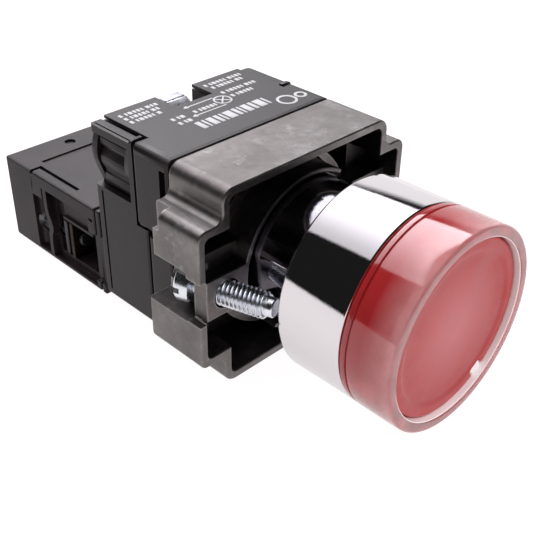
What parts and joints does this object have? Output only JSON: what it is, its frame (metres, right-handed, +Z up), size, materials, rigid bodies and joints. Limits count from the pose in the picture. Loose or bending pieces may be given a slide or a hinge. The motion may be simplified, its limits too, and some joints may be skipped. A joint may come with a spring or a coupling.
{
  "type": "illuminated panel push button",
  "caption": "Flush illuminated panel push-button: red lens in a red guard ring and chrome bezel, clamping collar with tilted screws, light block and contact block behind it.",
  "frame": {"origin": "centre of the bounding box on the ground plane: the unit lies on its side on the flange of its clamping collar", "axes": "-Y is the direction that the button faces, +Y runs back along the push axis to the contact block, +Z is up, +X is to the right seen from the front"},
  "size_m": [0.0396, 0.0792, 0.03],
  "materials": {
    "chrome_head": "polished chrome plate",
    "seal_rubber": "moulded black rubber",
    "red_guard": "glossy translucent red",
    "red_lens": "satin translucent red",
    "white_plastic": "plain moulded white",
    "black_plastic": "fine-grained black moulding",
    "spring_steel": "drawn spring wire",
    "cast_zinc": "as-cast tumbled zinc alloy, warm grey with pale edges",
    "bright_screw": "bright zinc-plated steel",
    "bright_clamp": "bright zinc-plated sheet steel",
    "brass": "stamped brass",
    "silver": "silver-faced contact metal",
    "lamp_glass": "clear blown glass"
  },
  "bodies": {
    "unit_body": {"head_body": "chrome_head", "panel_gasket": "seal_rubber", "carrier_seal": "seal_rubber", "guard_ring": "red_guard", "light_block_base": "black_plastic", "light_block_case": "black_plastic", "contact_block_case": "black_plastic", "contact_block_cover": "black_plastic", "return_spring": "spring_steel", "contact_spring": "spring_steel", "collar": "cast_zinc", "lamp_cap": "brass", "lamp_holder": "brass", "shell_strip": "brass", "tip_strip": "brass", "fixed_contact_left": "brass", "fixed_contact_right": "brass", "lamp_tip": "silver", "lamp_glass": "lamp_glass"},
    "button": {"push_lens": "red_lens", "lens_diffuser": "white_plastic", "lens_carrier": "black_plastic"},
    "upper_rod": {"push_rod_upper": "white_plastic"},
    "lower_rod": {"push_rod_lower": "white_plastic"},
    "contact_carriage": {"contact_plunger": "white_plastic", "contact_bridge": "silver"},
    "left_latch": {"latch_lever_left": "black_plastic"},
    "right_latch": {"latch_lever_right": "black_plastic"},
    "left_clamp_screw": {"clamp_screw_left": "bright_screw"},
    "right_clamp_screw": {"clamp_screw_right": "bright_screw"},
    "left_terminal": {"contact_screw_left": "bright_screw", "contact_washer_left": "bright_clamp"},
    "right_terminal": {"contact_screw_right": "bright_screw", "contact_washer_right": "bright_clamp"},
    "upper_lamp_terminal": {"lamp_terminal_upper_clamp": "bright_clamp", "lamp_terminal_upper_screw": "bright_screw"},
    "lower_lamp_terminal": {"lamp_terminal_lower_clamp": "bright_clamp", "lamp_terminal_lower_screw": "bright_screw"}
  },
  "joints": [
    {"name": "button_push", "type": "slide", "parent": "unit_body", "child": "button", "axis": [0, 1, 0], "range_m": [0, 0.0045], "stiffness_N_per_m": 700, "springref_m": -0.001, "deforming": ["return_spring"]},
    {"name": "upper_rod_slide", "type": "slide", "parent": "unit_body", "child": "upper_rod", "axis": [0, 1, 0], "range_m": [0, 0.0045]},
    {"name": "lower_rod_slide", "type": "slide", "parent": "unit_body", "child": "lower_rod", "axis": [0, 1, 0], "range_m": [0, 0.0045]},
    {"name": "contact_slide", "type": "slide", "parent": "unit_body", "child": "contact_carriage", "axis": [0, 1, 0], "range_m": [0, 0.0045], "deforming": ["contact_spring"]},
    {"name": "left_latch_pivot", "type": "hinge", "parent": "unit_body", "child": "left_latch", "pos_m": [-0.0126, 0.00912, 0.0243], "axis": [0, 1, 0], "range_deg": [0, 6], "stiffness_Nm_per_rad": 0.02},
    {"name": "right_latch_pivot", "type": "hinge", "parent": "unit_body", "child": "right_latch", "pos_m": [0.0126, 0.00912, 0.0057], "axis": [0, 1, 0], "range_deg": [0, 6], "stiffness_Nm_per_rad": 0.02},
    {"name": "left_clamp_screw_run", "type": "slide", "parent": "unit_body", "child": "left_clamp_screw", "axis": [-0.3048, 0.9524, 0], "range_m": [0, 0.005]},
    {"name": "right_clamp_screw_run", "type": "slide", "parent": "unit_body", "child": "right_clamp_screw", "axis": [0.3048, 0.9524, 0], "range_m": [0, 0.005]},
    {"name": "left_terminal_run", "type": "slide", "parent": "unit_body", "child": "left_terminal", "axis": [0, 1, 0], "range_m": [0, 0.0018]},
    {"name": "right_terminal_run", "type": "slide", "parent": "unit_body", "child": "right_terminal", "axis": [0, 1, 0], "range_m": [0, 0.0018]},
    {"name": "upper_lamp_terminal_run", "type": "slide", "parent": "unit_body", "child": "upper_lamp_terminal", "axis": [0, -1, 0], "range_m": [0, 0.0013]},
    {"name": "lower_lamp_terminal_run", "type": "slide", "parent": "unit_body", "child": "lower_lamp_terminal", "axis": [0, -1, 0], "range_m": [0, 0.0013]}
  ],
  "couplings": [
    {"joint": "upper_rod_slide", "follows": "button_push", "ratio": 1},
    {"joint": "lower_rod_slide", "follows": "button_push", "ratio": 1},
    {"joint": "contact_slide", "follows": "button_push", "ratio": 1}
  ]
}
